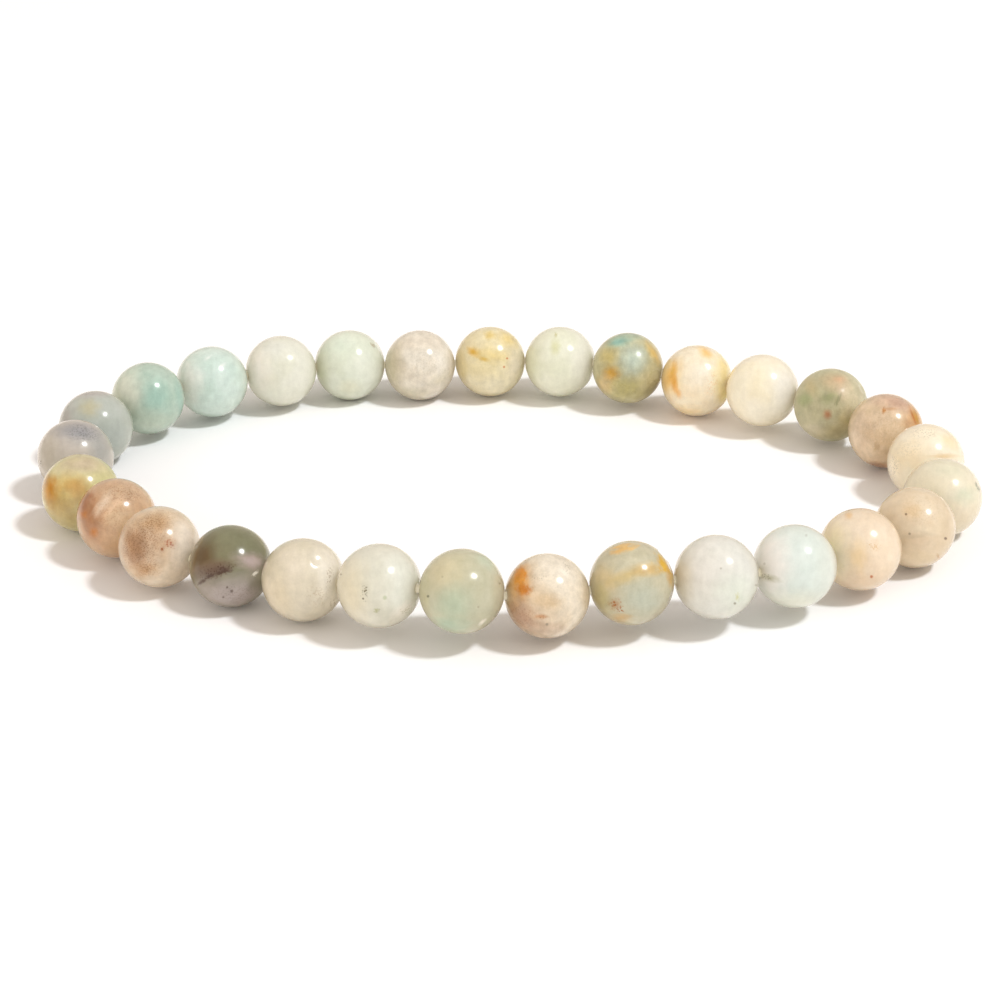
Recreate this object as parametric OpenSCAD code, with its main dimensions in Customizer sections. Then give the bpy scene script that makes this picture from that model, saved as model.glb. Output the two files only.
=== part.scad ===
// Beaded stretch bracelet: drilled round stone beads on one loop of elastic thread,
// resting as a slightly uneven and wavy oval. Millimetres: X runs along the oval, Y
// across it from front to back, and z = 0 is the surface that the lowest beads touch.

/* [Beads] */
// Diameter of the beads
bead_d = 6; // [5:0.5:8]
// Clear space between two neighbouring beads on the thread
bead_gap = 0.03; // [0.02:0.01:0.2]

/* [Oval] */
// Width of the oval for each unit of its length, both through the bead centres
oval_ratio = 0.61; // [0.5:0.01:1]
// Place of the first bead on the oval in degrees, where -90 is the middle of the front
first_angle = -79.5; // [-90:0.5:-70]

/* [Drilling] */
// Diameter of the hole through each bead
bore_d = 0.8; // [0.7:0.05:0.85]
// Diameter of the countersunk mouth at both ends of the hole
mouth_d = 0.9; // [0.9:0.05:1.6]

/* [Thread] */
// Diameter of the elastic thread
thread_d = 0.6; // [0.4:0.05:0.65]

/* [Hidden] */
// Smoothness of round surfaces
$fn = 72;
// Stone colours
PEACH = [0.90, 0.81, 0.71];
SAND = [0.92, 0.84, 0.72];
TAN = [0.80, 0.69, 0.56];
CREAM = [0.92, 0.87, 0.77];
MILK = [0.91, 0.90, 0.84];
ICE = [0.90, 0.92, 0.89];
MINT = [0.87, 0.88, 0.78];
SAGE = [0.78, 0.76, 0.62];
AQUA = [0.77, 0.82, 0.75];
HONEY = [0.86, 0.76, 0.56];
SLATE = [0.75, 0.72, 0.67];
MOSS = [0.57, 0.54, 0.45];
// Colour of the elastic thread
CLEAR = [0.90, 0.90, 0.88];

// Columns of the table of beads: how far the bead lies outside the smooth oval (inside,
// where negative), how high the thread holds it off the surface, and its stone
SWAY = 0;
LIFT = 1;
STONE = 2;
// One row a bead, from the middle of the front to the right and round by the back
BEADS = [
    [0.1, 0.5, PEACH],
    [-0.5, 1.0, SAGE],
    [-0.1, 1.1, MILK],
    [-0.1, 0.9, ICE],
    [-0.5, 0.5, SAND],
    [-0.2, 0.2, SAND],
    [0.2, 0.0, MINT],
    [0.0, 0.1, CREAM],
    [0.2, 0.2, TAN],
    [0.4, 0.4, SAGE],
    [-0.5, 0.5, CREAM],
    [-0.2, 0.1, PEACH],
    [-0.4, 0.5, SAGE],
    [0.2, 0.3, MINT],
    [0.1, 0.1, HONEY],
    [-0.4, 0.0, CREAM],
    [0.4, 0.0, MINT],
    [0.0, 0.3, MILK],
    [0.2, 0.3, AQUA],
    [0.2, 0.4, AQUA],
    [0.2, 0.0, SLATE],
    [-0.5, 0.2, SLATE],
    [-0.4, 0.0, HONEY],
    [-0.5, 0.3, TAN],
    [0.5, 0.3, TAN],
    [-0.2, 0.0, MOSS],
    [0.0, 0.2, CREAM],
    [0.6, 0.9, MINT],
    [1.0, 1.2, SAGE],
];

// Columns of the table of pits: the bead's number, the direction of the pit from the
// bead's centre as a turn about Z and a rise, and the ball that it fits and its depth
PIT_BEAD = 0;
PIT_TURN = 1;
PIT_RISE = 2;
PIT_BALL = 3;
PIT_DEEP = 4;
// One row a pit: where the ball is large the pit is a worn flat, and else it is a hollow, a
// nick or a dimple. The first two rows overlap and make one notch, longer than it is wide
PITS = [
    [2, 34, 33, 1.6, 0.26],
    [2, 22, 39, 1.6, 0.26],
    [2, 11, 26, 12, 0.12],
    [2, -13, -12, 12, 0.08],
    [10, -3, 34, 5, 0.10],
    [10, -158, -10, 3, 0.10],
    [13, -177, 5, 12, 0.06],
    [17, -10, 43, 1, 0.06],
    [17, 13, 34, 12, 0.06],
    [27, -43, 52, 3, 0.10],
];

// Number of beads
bead_count = len(BEADS);
// Sides of the thread, which is swept as a mesh
thread_sides = 12;
// Halvings in each search, which bring its answer well under a micron
halvings = 30;
// Widest step between two beads, in degrees of the oval
widest_step = 50;
// How far the drill's countersinks reach past the bead, so that they cut clean through
drill_overrun = 0.2;

bead_r = bead_d / 2;

function wrap(i) = (i + bead_count) % bead_count;
function unit(v) = v / norm(v);

// Centre of bead i at the angle t of an oval whose half-length is a
function seat(i, a, t) =
    let (b = a * oval_ratio)
    let (out = BEADS[wrap(i)][SWAY] * unit([b * cos(t), a * sin(t)]))
    [a * cos(t) + out.x, b * sin(t) + out.y, bead_r + BEADS[wrap(i)][LIFT]];

// Angle between low and high at which bead i just clears the bead before it, at p
function clear_angle(i, a, p, low, high, tries) =
    let (mid = (low + high) / 2)
    let (apart = norm(seat(i, a, mid) - p))
    tries == 0 ? mid
    : apart < bead_d + bead_gap
        ? clear_angle(i, a, p, mid, high, tries - 1)
        : clear_angle(i, a, p, low, mid, tries - 1);

// Angles of bead i, at t, and of all that follow it, round to the first bead again
function angles_from(i, a, t) =
    i == bead_count ? [t]
    : concat([t], angles_from(i + 1, a,
        clear_angle(i + 1, a, seat(i, a, t), t, t + widest_step, halvings)));

// Half-length between low and high of the oval that the string of beads just closes
function closing_half(low, high, tries) =
    let (mid = (low + high) / 2)
    let (turn = angles_from(0, mid, first_angle)[bead_count] - first_angle)
    tries == 0 ? mid
    : turn > 360 ? closing_half(mid, high, tries - 1)
    : closing_half(low, mid, tries - 1);

// Length of the string, and the half-length that closes it: a circle has 0.16 of its
// length, and a flat loop 0.25
string_length = bead_count * bead_d;
half_length = closing_half(0.14 * string_length, 0.26 * string_length, halvings);
// Angles of all the beads, and their centres before the oval is moved to the origin
angles = angles_from(0, half_length, first_angle);
seats = [for (i = [0 : bead_count - 1]) seat(i, half_length, angles[i])];
// Middle of the box that holds all the beads, which the origin lies under
xs = [for (seat = seats) seat.x];
ys = [for (seat = seats) seat.y];
middle = [(min(xs) + max(xs)) / 2, (min(ys) + max(ys)) / 2, 0];

function centre(i) = seats[wrap(i)] - middle;
// Way of the string at bead i, and the bend of the thread between bead i and the next
function along(i) = unit(centre(i + 1) - centre(i - 1));
function bend(i) = (centre(i) + centre(i + 1) + bead_r * (along(i) - along(i + 1))) / 2;
function bore_way(i) = unit(bend(i) - bend(i - 1));

// The part's sub-parts, one node each

// Turns what points along Z to point along v
module aim(v) {
    rotate([0, acos(v.z / norm(v)), atan2(v.y, v.x)])
        children();
}

// The hole and both countersinks of a bead, along Z about its middle
module drill() {
    mouth_at = sqrt(bead_r * bead_r - mouth_d * mouth_d / 4);
    sink_depth = (mouth_d - bore_d) / 2;
    reach = bead_r - mouth_at + drill_overrun;
    rotate_extrude()
        polygon([
            [0, -mouth_at - reach],
            [mouth_d / 2 + reach, -mouth_at - reach],
            [bore_d / 2, -mouth_at + sink_depth],
            [bore_d / 2, mouth_at - sink_depth],
            [mouth_d / 2 + reach, mouth_at + reach],
            [0, mouth_at + reach],
        ]);
}

// A ball-shaped hollow in a bead that is centred on the origin
module pit(row) {
    ball_r = row[PIT_BALL] / 2;
    rotate([0, -row[PIT_RISE], row[PIT_TURN]])
        translate([bead_r + ball_r - row[PIT_DEEP], 0, 0])
            sphere(r = ball_r);
}

module bead(i) {
    color(BEADS[i][STONE])
        difference() {
            translate(centre(i))
                aim(bore_way(i))
                    sphere(r = bead_r);
            translate((bend(i) + bend(i - 1)) / 2)
                aim(bore_way(i))
                    drill();
            for (row = PITS)
                if (row[PIT_BEAD] == i + 1)
                    translate(centre(i))
                        pit(row);
        }
}

// Points of the thread's ring at the bend after bead i, mitred across the bend
function thread_ring(i) =
    let (way = unit(bore_way(i) + bore_way(i + 1)))
    let (side = unit(cross(way, [0, 0, 1])))
    let (up = cross(side, way))
    let (wide = thread_d / 2 / (way * bore_way(i)))
    [for (k = [0 : thread_sides - 1])
        let (turn = k * 360 / thread_sides)
        bend(i) + wide * cos(turn) * side + thread_d / 2 * sin(turn) * up];

module elastic_thread() {
    points = [for (i = [0 : bead_count - 1]) each thread_ring(i)];
    faces = [for (i = [0 : bead_count - 1], k = [0 : thread_sides - 1])
        let (next_i = (i + 1) % bead_count)
        let (next_k = (k + 1) % thread_sides)
        [
            i * thread_sides + k,
            next_i * thread_sides + k,
            next_i * thread_sides + next_k,
            i * thread_sides + next_k,
        ]];
    color(CLEAR)
        polyhedron(points, faces);
}

for (i = [0 : bead_count - 1])
    bead(i);
elastic_thread();
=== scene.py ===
# %% [markdown]
# Beaded bracelet
# This lesson dresses a stretch bracelet: 29 round, polished stone beads on a loop of elastic
# thread. The solid model already says where every bead lies and how wide it is. What is left
# to make is what the eye enjoys: slightly uneven stones with rounded drill mouths, milky
# depth, clouds, stains and specks in the stone, and the soft light that they lie in.

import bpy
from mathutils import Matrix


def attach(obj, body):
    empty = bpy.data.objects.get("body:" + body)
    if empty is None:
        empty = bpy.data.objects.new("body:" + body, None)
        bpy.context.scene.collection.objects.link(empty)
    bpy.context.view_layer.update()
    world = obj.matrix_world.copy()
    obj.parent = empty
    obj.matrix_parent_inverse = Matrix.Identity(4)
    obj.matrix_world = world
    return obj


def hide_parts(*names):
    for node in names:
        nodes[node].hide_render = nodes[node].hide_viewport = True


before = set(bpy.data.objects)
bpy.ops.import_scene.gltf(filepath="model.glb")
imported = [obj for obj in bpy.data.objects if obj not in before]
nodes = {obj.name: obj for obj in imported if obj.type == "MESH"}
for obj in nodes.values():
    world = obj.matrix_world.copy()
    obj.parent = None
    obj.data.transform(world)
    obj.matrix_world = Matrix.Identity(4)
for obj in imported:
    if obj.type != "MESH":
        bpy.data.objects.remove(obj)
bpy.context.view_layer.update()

# %% [markdown]
# Units and helpers
# Blender works in metres, and a jeweller in millimetres, so sizes are written in millimetres
# and multiplied by MM. The mesh points are worked out with numpy.

# %% Units
import math

import bpy
import numpy as np
from mathutils import Matrix, Vector, noise

MM = 0.001
scene = bpy.context.scene

# %% [markdown]
# Camera
# A product photographer stands back with a long lens, so that near and far beads keep almost
# the same size. The camera looks down on the loop by about 27 degrees, a little from the
# right, and is tipped by less than a degree. It comes first, because every later choice is
# judged through it.

# %% Camera
CAMERA_PLACE = Vector((22.69, -167.10, 85.73)) * MM
CAMERA_DOWN = 26.78
CAMERA_TURN = 7.775
CAMERA_ROLL = -0.72
LENS = 86.8
SENSOR = 36

camera_data = bpy.data.cameras.new("camera")
camera_data.lens = LENS
camera_data.sensor_width = SENSOR
camera_data.clip_start = 10 * MM
camera_data.clip_end = 20
camera = bpy.data.objects.new("camera", camera_data)
camera.location = CAMERA_PLACE
turned = Matrix.Rotation(math.radians(CAMERA_TURN), 3, "Z")
tilted = Matrix.Rotation(math.radians(90 - CAMERA_DOWN), 3, "X")
tipped = Matrix.Rotation(math.radians(CAMERA_ROLL), 3, "Z")
camera.rotation_euler = (turned @ tilted @ tipped).to_euler()
scene.collection.objects.link(camera)
scene.camera = camera
print("camera stands", round(CAMERA_PLACE.length / MM), "mm from the middle of the loop")

# %% [markdown]
# Measuring the beads
# A bead is replaced by a finer one, so its place has to be measured on the solid. Most points
# of the solid lie on its ball, and the rest on the drilled hole. Fitting a ball again and
# again to the points that agree with it leaves the hole out. The thread bends where two beads
# meet, and each hole runs straight from one bend to the next.

# %% Measure the beads
BALL_TRIES = 4
BALL_MISS = 0.02 * MM


def fit_ball(points):
    """The centre and radius of the ball that most of the points lie on."""
    kept = points
    for _ in range(BALL_TRIES):
        rows = np.column_stack([2 * kept, np.ones(len(kept))])
        answer = np.linalg.lstsq(rows, (kept**2).sum(1), rcond=None)[0]
        centre = answer[:3]
        radius = math.sqrt(answer[3] + centre @ centre)
        miss = np.abs(np.linalg.norm(points - centre, axis=1) - radius)
        kept = points[miss < max(BALL_MISS, np.median(miss))]
    return Vector(centre), radius


def corners(node):
    """The places of a solid's points, one row each."""
    return np.array([point.co for point in nodes[node].data.vertices], float)


bead_names = sorted(name for name in nodes if name.startswith("bead_"))
balls = [fit_ball(corners(name)) for name in bead_names]
centres = [centre for centre, radius in balls]
radii = [radius for centre, radius in balls]
bead_count = len(balls)


def along(i):
    """The way of the string at bead i."""
    return (centres[(i + 1) % bead_count] - centres[i - 1]).normalized()


def bend(i):
    """Where the thread bends between bead i and the next."""
    j = (i + 1) % bead_count
    leaves = centres[i] + radii[i] * along(i)
    enters = centres[j] - radii[j] * along(j)
    return (leaves + enters) / 2


print(bead_count, "beads,", round(2 * sum(radii) / bead_count / MM, 2), "mm on average")

# %% [markdown]
# Wear and unevenness
# Small stones are ground round in a drum, so none is a perfect ball: each has a few faint
# flats, and now and then a pit where a grain broke out. A height map on a smooth ball would
# not change its outline, so the points themselves are pressed inwards. Low, smooth noise
# gives the flats, and each pit is the mark of a small ball pressed into the stone.

# %% Uneven surface
FLAT_DEEP = 0.02
# Flats along a bead's radius, and the step from one bead's piece of the noise to the next
FLAT_COUNT = 1.1
FLAT_STEP = 7.3
PIT_SOFT = 0.02
# Next to its mouths a bead stays true, because there it turns on its neighbour
TRUE_END = 0.1
# Bead, turn about Z and rise of the pit in degrees, its ball's diameter and depth in mm. Where
# the ball is large the pit is a worn flat. The first two overlap and make one notch
PITS = [
    (2, 34, 33, 1.6, 0.26),
    (2, 22, 39, 1.6, 0.26),
    (2, 11, 26, 12, 0.12),
    (2, -13, -12, 12, 0.08),
    (10, -3, 34, 5, 0.10),
    (10, -158, -10, 3, 0.10),
    (13, -177, 5, 12, 0.06),
    (17, -10, 43, 1, 0.06),
    (17, 13, 34, 12, 0.06),
    (27, -43, 52, 3, 0.10),
]


def pit_depth(way, radius, pit):
    """How deep a pit is at a way from the centre, in mm."""
    number, turn, rise, ball, deep = pit
    turn, rise = math.radians(turn), math.radians(rise)
    level = math.cos(rise)
    aim = Vector((level * math.cos(turn), level * math.sin(turn), math.sin(rise)))
    reach = radius + ball / 2 - deep
    near = way.dot(aim) * reach
    inside = (ball / 2) ** 2 - reach**2 + near**2
    if near <= 0 or inside <= 0:
        return 0
    depth = radius - near + math.sqrt(inside)
    return depth if depth > PIT_SOFT else max(0, depth) ** 2 / PIT_SOFT


def wear(i, way):
    """How far the surface of bead i lies inside its ball at a way from the centre, in mm."""
    uneven = noise.noise(way * FLAT_COUNT + Vector((FLAT_STEP * i, 0, 0)))
    flat = FLAT_DEEP * (0.5 + 0.5 * uneven)
    flat *= min(1, (1 - abs(way.dot(along(i)))) / TRUE_END)
    pits = [pit_depth(way, radii[i] / MM, pit) for pit in PITS if pit[0] == i + 1]
    return flat + max(pits, default=0)


print(len(PITS), "pits on", len({pit[0] for pit in PITS}), "beads")

# %% [markdown]
# Bead meshes
# A bead is turned on a lathe of rings round its own drilled hole: down the inside of the
# hole, over the rounded mouth, along the outside and back into the other mouth. That closes
# on itself like a ring doughnut, which the milky shading needs, and it puts clean rings where
# the light catches the mouth.

# %% Bead meshes
BORE = 0.8
MOUTH = 0.9
# Depth of the rounded mouth for each unit of its width
LIP = 0.5
MOUTH_RINGS = 4
BORE_RINGS = 4
OUTER_RINGS = 60
SIDES = 96


def bead_frame(i):
    """The middle of bead i's hole, and three ways: along the hole, level and upwards."""
    start, end = bend(i - 1), bend(i)
    hole = (end - start).normalized()
    level = hole.cross(Vector((0, 0, 1))).normalized()
    return (start + end) / 2, hole, level, level.cross(hole)


def on_ball(i, start, way):
    """The point where a ray from inside bead i leaves its worn surface."""
    off = start - centres[i]
    half = off.dot(way)
    point = start + way * (math.sqrt(half * half - off.dot(off) + radii[i] ** 2) - half)
    out = (point - centres[i]).normalized()
    return point - out * wear(i, out) * MM


def bead_rings(i):
    """The rings of points that bead i's surface runs through, each all the way round."""
    middle, hole, level, up = bead_frame(i)
    rays = [level * math.cos(turn) + up * math.sin(turn)
            for turn in (math.tau * k / SIDES for k in range(SIDES))]
    mouth_angle = math.asin(MOUTH / 2 * MM / radii[i])
    outer = []
    for ring in range(OUTER_RINGS + 1):
        angle = mouth_angle + (math.pi - 2 * mouth_angle) * ring / OUTER_RINGS
        ways = [hole * math.cos(angle) + ray * math.sin(angle) for ray in rays]
        outer.append([on_ball(i, middle, way) for way in ways])
    sink = (MOUTH - BORE) / 2 * MM
    lip_deep = sink * LIP
    rings = list(outer)
    for edge, inward in ((outer[-1], 1), (outer[0], -1)):
        lip = []
        for ring in range(1, MOUTH_RINGS + 1):
            turn = math.pi / 2 * ring / MOUTH_RINGS
            across = sink * math.sin(turn)
            deeper = hole * inward * lip_deep * (1 - math.cos(turn))
            lip.append([point - ray * across + deeper for point, ray in zip(edge, rays)])
        rings = rings + lip if inward == 1 else lip[::-1] + rings
    first, last = rings[0], rings[-1]
    for ring in range(1, BORE_RINGS):
        share = ring / BORE_RINGS
        rings.append([b.lerp(a, share) for a, b in zip(first, last)])
    return rings


def ring_mesh(name, rings):
    """A closed mesh through rings of points, which joins the last ring to the first."""
    sides = len(rings[0])
    points = [point for ring in rings for point in ring]
    faces = []
    for r in range(len(rings)):
        here, there = r * sides, (r + 1) % len(rings) * sides
        for k in range(sides):
            beside = (k + 1) % sides
            faces.append((here + k, here + beside, there + beside, there + k))
    mesh = bpy.data.meshes.new(name)
    mesh.from_pydata(points, [], faces)
    mesh.polygons.foreach_set("use_smooth", [True] * len(faces))
    mesh.update()
    piece = bpy.data.objects.new(name, mesh)
    scene.collection.objects.link(piece)
    return piece


beads = []
for i, name in enumerate(bead_names):
    bead = ring_mesh(name.replace("bead", "stone_bead"), bead_rings(i))
    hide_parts(name)
    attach(bead, "root")
    beads.append(bead)
print(len(beads), "stone beads with", sum(len(bead.data.polygons) for bead in beads), "faces")

# %% [markdown]
# The elastic thread
# Clear elastic hides in the holes and shows only as a glint between two beads. It is one
# closed tube: straight through each bead, with a soft turn where two beads meet. Rings of
# points are carried along its line, as for the beads.

# %% Thread mesh
THREAD = 0.58
THREAD_SIDES = 24
TURN_REACH = 0.35
TURN_RINGS = 6


def thread_line():
    """Points along the middle of the thread, all the way round."""
    line = []
    for i in range(bead_count):
        corner = bend(i)
        enter = corner - (corner - bend(i - 1)).normalized() * TURN_REACH * MM
        leave = corner + (bend((i + 1) % bead_count) - corner).normalized() * TURN_REACH * MM
        for step in range(TURN_RINGS + 1):
            share = step / TURN_RINGS
            line.append(enter.lerp(corner, share).lerp(corner.lerp(leave, share), share))
    return line


def tube_rings(line, width):
    """Rings of points round a closed line that lies level."""
    rings = []
    for k, point in enumerate(line):
        way = (line[(k + 1) % len(line)] - line[k - 1]).normalized()
        level = way.cross(Vector((0, 0, 1))).normalized()
        up = level.cross(way)
        turns = [math.tau * side / THREAD_SIDES for side in range(THREAD_SIDES)]
        outs = [level * math.cos(turn) + up * math.sin(turn) for turn in turns]
        rings.append([point + out * width / 2 for out in outs])
    return rings


thread = ring_mesh("clear_thread", tube_rings(thread_line(), THREAD * MM))
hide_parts("elastic_thread")
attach(thread, "root")
print("thread with", len(thread.data.polygons), "faces")

# %% [markdown]
# Shader maths as Python
# A stone's pattern is a long sum of small masks. Wired by hand in the node editor it would
# be hard to follow, so a small class lets a node's socket take part in ordinary Python
# arithmetic: each operator adds the Math node that it stands for. Vectors use Vector Math
# nodes, because a plain Math node would turn them into one number.

# %% Shader helpers
MANY = ("VECTOR", "RGBA")
# Places of the colour sockets on a Mix node, which lie behind those for numbers and vectors
MIX_MASK, MIX_FIRST, MIX_SECOND, MIX_RESULT = 0, 6, 7, 2
# How much brighter the studio lights a bead than paint alone would look
STUDIO_LIGHT = 1.08


class Wire:
    """A socket of a shader's node that takes part in Python expressions."""

    def __init__(self, recipe, socket):
        self.recipe = recipe
        self.socket = socket

    def sibling(self, output):
        """Another output of the same node."""
        return Wire(self.recipe, self.socket.node.outputs[output])

    def sum_node(self, operation, first, second):
        """The Math or Vector Math node that an operator stands for."""
        kind = "ShaderNodeMath"
        if any(isinstance(value, Wire) and value.socket.type in MANY for value in (first, second)):
            kind = "ShaderNodeVectorMath"
        return self.recipe.add(kind, {"operation": operation}, {0: first, 1: second})

    def __add__(self, other):
        return self.sum_node("ADD", self, other)

    def __sub__(self, other):
        return self.sum_node("SUBTRACT", self, other)

    def __rsub__(self, other):
        return self.sum_node("SUBTRACT", other, self)

    def __mul__(self, other):
        if self.socket.type in MANY:
            sockets = {0: self, "Scale": other}
            return self.recipe.add("ShaderNodeVectorMath", {"operation": "SCALE"}, sockets)
        return self.sum_node("MULTIPLY", self, other)

    __radd__ = __add__
    __rmul__ = __mul__


class Recipe:
    """The nodes of one material, all of them made by one method."""

    def __init__(self, name):
        self.material = bpy.data.materials.new(name)
        self.material.use_nodes = True
        self.tree = self.material.node_tree
        self.tree.nodes.clear()

    def add(self, kind, settings, sockets, output=0):
        """A node of that kind: its settings first, then the values or wires of its sockets."""
        node = self.tree.nodes.new(kind)
        for name, value in settings.items():
            setattr(node, name, value)
        for name, value in sockets.items():
            if isinstance(value, Wire):
                self.tree.links.new(value.socket, node.inputs[name])
            else:
                node.inputs[name].default_value = value
        return Wire(self, node.outputs[output]) if node.outputs else node

    def rise(self, value, low, high):
        """A mask that is 0 where value is low, 1 where it is high, and smooth between."""
        limits = {"Value": value, "From Min": low, "From Max": high}
        return self.add("ShaderNodeMapRange", {"interpolation_type": "SMOOTHSTEP"}, limits)

    def blend(self, mask, first, second):
        """The first colour where the mask is 0, and the second where it is 1."""
        sockets = {MIX_MASK: mask, MIX_FIRST: first, MIX_SECOND: second}
        return self.add("ShaderNodeMix", {"data_type": "RGBA"}, sockets, output=MIX_RESULT)

    def noise(self, place, size, detail, output="Fac"):
        """Cloudy noise whose lumps have that size."""
        sockets = {"Vector": place, "Scale": 1 / size, "Detail": detail}
        return self.add("ShaderNodeTexNoise", {}, sockets, output=output)

    def length(self, vector):
        """The length of a vector, as one number."""
        return self.add("ShaderNodeVectorMath", {"operation": "LENGTH"}, {0: vector}, output="Value")


def paint(red, green, blue):
    """The paint for a colour as it looks in the studio light, from 0 to 255.

    The powers and shares are those of the screen's own curve, which paint goes without.
    """
    shares = [value / 255 for value in (red, green, blue)]
    return (*(((share + 0.055) / 1.055) ** 2.4 / STUDIO_LIGHT for share in shares), 1)


print("middle grey as paint:", round(paint(128, 128, 128)[0], 3))

# %% [markdown]
# Stone
# Amazonite is a feldspar: milky and slightly see-through, clouded with white, and stained
# ochre, rust or brown along old cracks. Light goes in, wanders about and comes out again
# nearby, which is why no side of a bead looks black. Subsurface scattering does that. Over
# it lies the polish, a thin and faintly warm glaze. It adds its reflection to the stone's own,
# and holds back a little light, most where one looks across it.
# Each bead has its own marks, so a mark is written down as a jeweller would describe it on the
# bead in hand: its colour, how far right and up its middle lies, and how far it reaches
# sideways and upwards, all in radii of the bead as the camera sees it. Hazy patches fade slowly,
# stained patches have a ragged edge, grains are a cluster of dots, and a speck is a single dot.
# Some hazy patches are painted light, which brightens a shaded side of a bead or lays a pool of
# light low on its right, and one ragged patch is a painted glint.

# %% Marks in the stone
from collections import namedtuple

Mark = namedtuple("Mark", "colour right up wide tall turn amount soft ragged grain share")
Look = namedtuple("Look", "slot body cloud cloudy marks milky matt veined", defaults=(1.0, 0.0, 1.0))


def haze_or_painted_light(colour, right, up, wide, tall, turn=0, amount=0.7):
    """A patch of colour that fades slowly; in some beads it is painted light."""
    return Mark(colour, right, up, wide, tall, turn, amount, soft=0.9, ragged=1.2, grain=0, share=1)


def stain_or_glint(colour, right, up, wide, tall, turn=0, amount=0.85):
    """A patch of colour with a ragged edge; in one bead it is a painted glint."""
    return Mark(colour, right, up, wide, tall, turn, amount, soft=0.6, ragged=2.6, grain=0, share=1)


def grains(colour, right, up, wide, tall, turn=0, amount=0.6, size=0.045, share=0.7):
    """A cluster of dots."""
    return Mark(colour, right, up, wide, tall, turn, amount, soft=0.7, ragged=1.5, grain=size, share=share)


def speck(colour, right, up, size=0.03, amount=0.7):
    """A single dot."""
    return Mark(colour, right, up, size, size, 0, amount, soft=0.5, ragged=0.6, grain=0, share=1)


# Painted light: a pale colour laid as a pool of light low on the right of beads 28 and 29
PAINTED_LIGHT_POOL = paint(245, 242, 232)
SMOKE = paint(140, 134, 120)
COFFEE = paint(150, 108, 76)
RUST = paint(186, 98, 42)
UMBER = paint(80, 58, 46)
print("marks: haze, stain, grains and speck")

# %% [markdown]
# The jeweller's notes
# One entry a bead, from the middle of the front, to the right and round by the back. Each
# names the colour slot of the solid model, the body colour and the colour of its clouds. No
# two beads are alike.

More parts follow.
